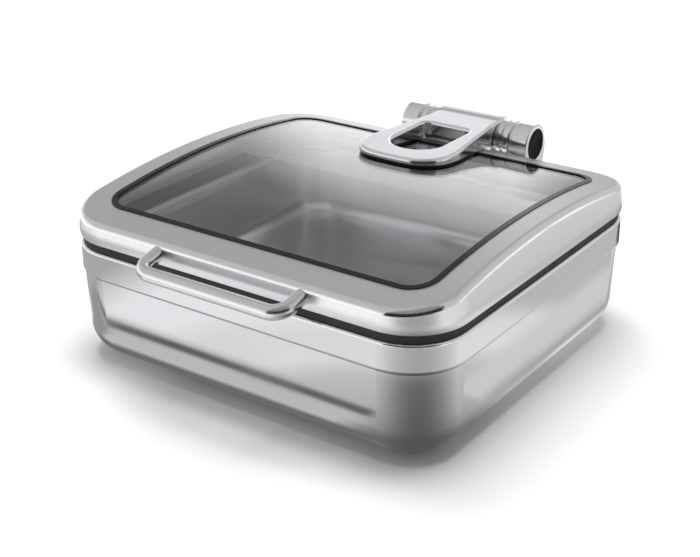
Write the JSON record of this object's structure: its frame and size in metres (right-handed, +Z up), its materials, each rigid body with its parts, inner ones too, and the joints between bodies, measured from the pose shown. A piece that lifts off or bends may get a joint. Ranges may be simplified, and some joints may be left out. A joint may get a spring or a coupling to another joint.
{
  "type": "chafing dish",
  "caption": "Rectangular induction chafing dish with an arched glass lid on a damped rear hinge, a front bar handle and a lift-out food pan.",
  "frame": {"origin": "middle of the flat underside that stands on the hob", "axes": "+X to the right of someone who faces the handle, -Y towards the handle at the front, +Z up"},
  "size_m": [0.4206, 0.474, 0.175],
  "materials": {
    "shell_steel": "mirror polished stainless sheet",
    "pressed_steel": "polished stainless sheet",
    "pan_steel": "satin stainless sheet",
    "base_steel": "ground magnetic steel",
    "cast_chrome": "chromed casting",
    "handle_chrome": "polished bar",
    "plate_steel": "plain steel",
    "screw_steel": "bright steel",
    "seal_rubber": "black silicone",
    "gasket_rubber": "black silicone",
    "pad_rubber": "black silicone",
    "cap_plastic": "black moulding",
    "bush_plastic": "natural moulding",
    "damper_plastic": "dark moulding",
    "lid_glass": "clear toughened glass"
  },
  "bodies": {
    "body": {"body_shell": "shell_steel", "induction_base": "base_steel", "rim_frame": "pressed_steel", "rim_seal": "seal_rubber", "hinge_bracket": "cast_chrome", "bracket_backing_plate": "plate_steel", "bracket_screws": "screw_steel", "hinge_shaft": "plate_steel", "hinge_collar_left": "cast_chrome", "hinge_collar_right": "cast_chrome", "hinge_washers": "screw_steel", "damper_rotors": "damper_plastic", "end_cap_left": "cap_plastic", "end_cap_right": "cap_plastic"},
    "lid": {"lid_frame": "shell_steel", "glass_retainer": "pressed_steel", "glass_gasket": "gasket_rubber", "lid_glass": "lid_glass", "lid_handle": "handle_chrome", "handle_screws": "screw_steel", "hinge_yoke": "cast_chrome", "yoke_pad": "pad_rubber", "clamp_pad": "pad_rubber", "clamp_plate": "plate_steel", "yoke_screws": "screw_steel", "glass_sleeves": "bush_plastic", "hinge_bushes": "bush_plastic", "damper_housings": "damper_plastic"},
    "pan": {"food_pan": "pan_steel"}
  },
  "joints": [
    {"name": "lid_hinge", "type": "hinge", "parent": "body", "child": "lid", "pos_m": [0, 0.2215, 0.152], "axis": [-1, 0, 0], "range_deg": [0, 90]},
    {"name": "pan_lift", "type": "slide", "parent": "body", "child": "pan", "axis": [0, 0, 1], "range_m": [0, 0.02]}
  ]
}
